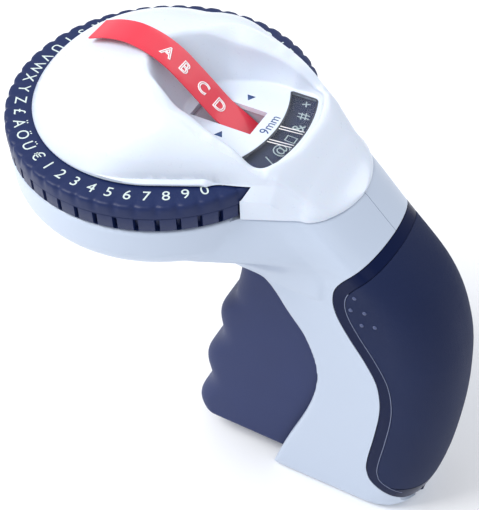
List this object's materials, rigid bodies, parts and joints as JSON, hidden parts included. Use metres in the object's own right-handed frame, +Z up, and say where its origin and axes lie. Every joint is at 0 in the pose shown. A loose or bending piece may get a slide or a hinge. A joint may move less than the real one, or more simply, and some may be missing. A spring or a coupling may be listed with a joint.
{
  "type": "embossing label maker",
  "caption": "Hand-held label maker: a turning letter dial under a domed cover, a squeeze trigger, and a handle with a tape bay behind a rubber-faced door.",
  "frame": {"origin": "middle of the foot's flat face, on the table", "axes": "+Z up along the dial's axis; +X from the dial toward the handle's back; +Y to the right hand of someone who looks along +X"},
  "size_m": [0.1406, 0.088, 0.1484],
  "materials": {
    "cover_white": "smooth moulded, lightly polished",
    "body_blue": "smooth moulded, satin",
    "dial_navy": "satin moulded",
    "trigger_navy": "fine spark-eroded matte",
    "gloss_navy": "polished",
    "grip_rubber": "soft matte",
    "clear_lens": "clear, polished",
    "steel": "plain",
    "nylon": "plain moulded",
    "roller_rubber": "matte",
    "tape_red": "glossy tape"
  },
  "bodies": {
    "housing": {"body_left": "body_blue", "body_right": "body_blue", "top_cover": "cover_white", "window_lens": "clear_lens", "dial_axle": "steel", "axle_clip": "steel", "axle_screw": "steel", "detent_spring": "steel", "mechanism_frame": "steel", "trigger_pivot_pin": "steel", "trigger_spring": "steel", "tape_chute": "nylon", "ratchet_pawl": "nylon", "pinch_axle": "steel", "spool_spindle": "nylon", "label_tape": "tape_red", "door_hinge_pin": "steel", "body_screws": "steel"},
    "dial": {"character_ring": "dial_navy", "lower_die_disc": "dial_navy"},
    "trigger": {"trigger": "trigger_navy"},
    "hammer": {"press_hammer": "steel", "hammer_crosshead": "steel", "cutter_blade": "steel"},
    "feed": {"feed_roller": "roller_rubber", "feed_axle": "steel", "ratchet_wheel": "nylon"},
    "pinch": {"pinch_roller": "roller_rubber"},
    "spool": {"tape_spool": "nylon", "tape_roll": "tape_red"},
    "door": {"tape_door": "gloss_navy", "grip_pad": "grip_rubber"}
  },
  "joints": [
    {"name": "dial_spin", "type": "hinge", "parent": "housing", "child": "dial", "pos_m": [-0.064, 0, 0.129], "axis": [0, 0, 1], "continuous": true},
    {"name": "trigger_squeeze", "type": "hinge", "parent": "housing", "child": "trigger", "pos_m": [-0.033, 0, 0.0975], "axis": [0, -1, 0], "range_deg": [0, 14], "stiffness_Nm_per_rad": 0.4, "springref_deg": -20.05},
    {"name": "hammer_lift", "type": "slide", "parent": "housing", "child": "hammer", "axis": [0, 0, 1], "range_m": [0, 0.003]},
    {"name": "feed_spin", "type": "hinge", "parent": "housing", "child": "feed", "pos_m": [-0.01, 0, 0.104], "axis": [0, 1, 0], "continuous": true},
    {"name": "pinch_spin", "type": "hinge", "parent": "housing", "child": "pinch", "pos_m": [-0.00034, 0, 0.104], "axis": [0, 1, 0], "continuous": true},
    {"name": "spool_spin", "type": "hinge", "parent": "housing", "child": "spool", "pos_m": [0.0115, 0, 0.0516], "axis": [0, 1, 0], "continuous": true},
    {"name": "door_open", "type": "hinge", "parent": "housing", "child": "door", "pos_m": [0.02434, 0, 0.00697], "axis": [0, 1, 0], "range_deg": [0, 70]}
  ],
  "couplings": [
    {"joint": "hammer_lift", "follows": "trigger_squeeze", "m_per_rad": 0.011868},
    {"joint": "pinch_spin", "follows": "feed_spin", "ratio": -1.25},
    {"joint": "spool_spin", "follows": "feed_spin", "ratio": -0.3226}
  ]
}
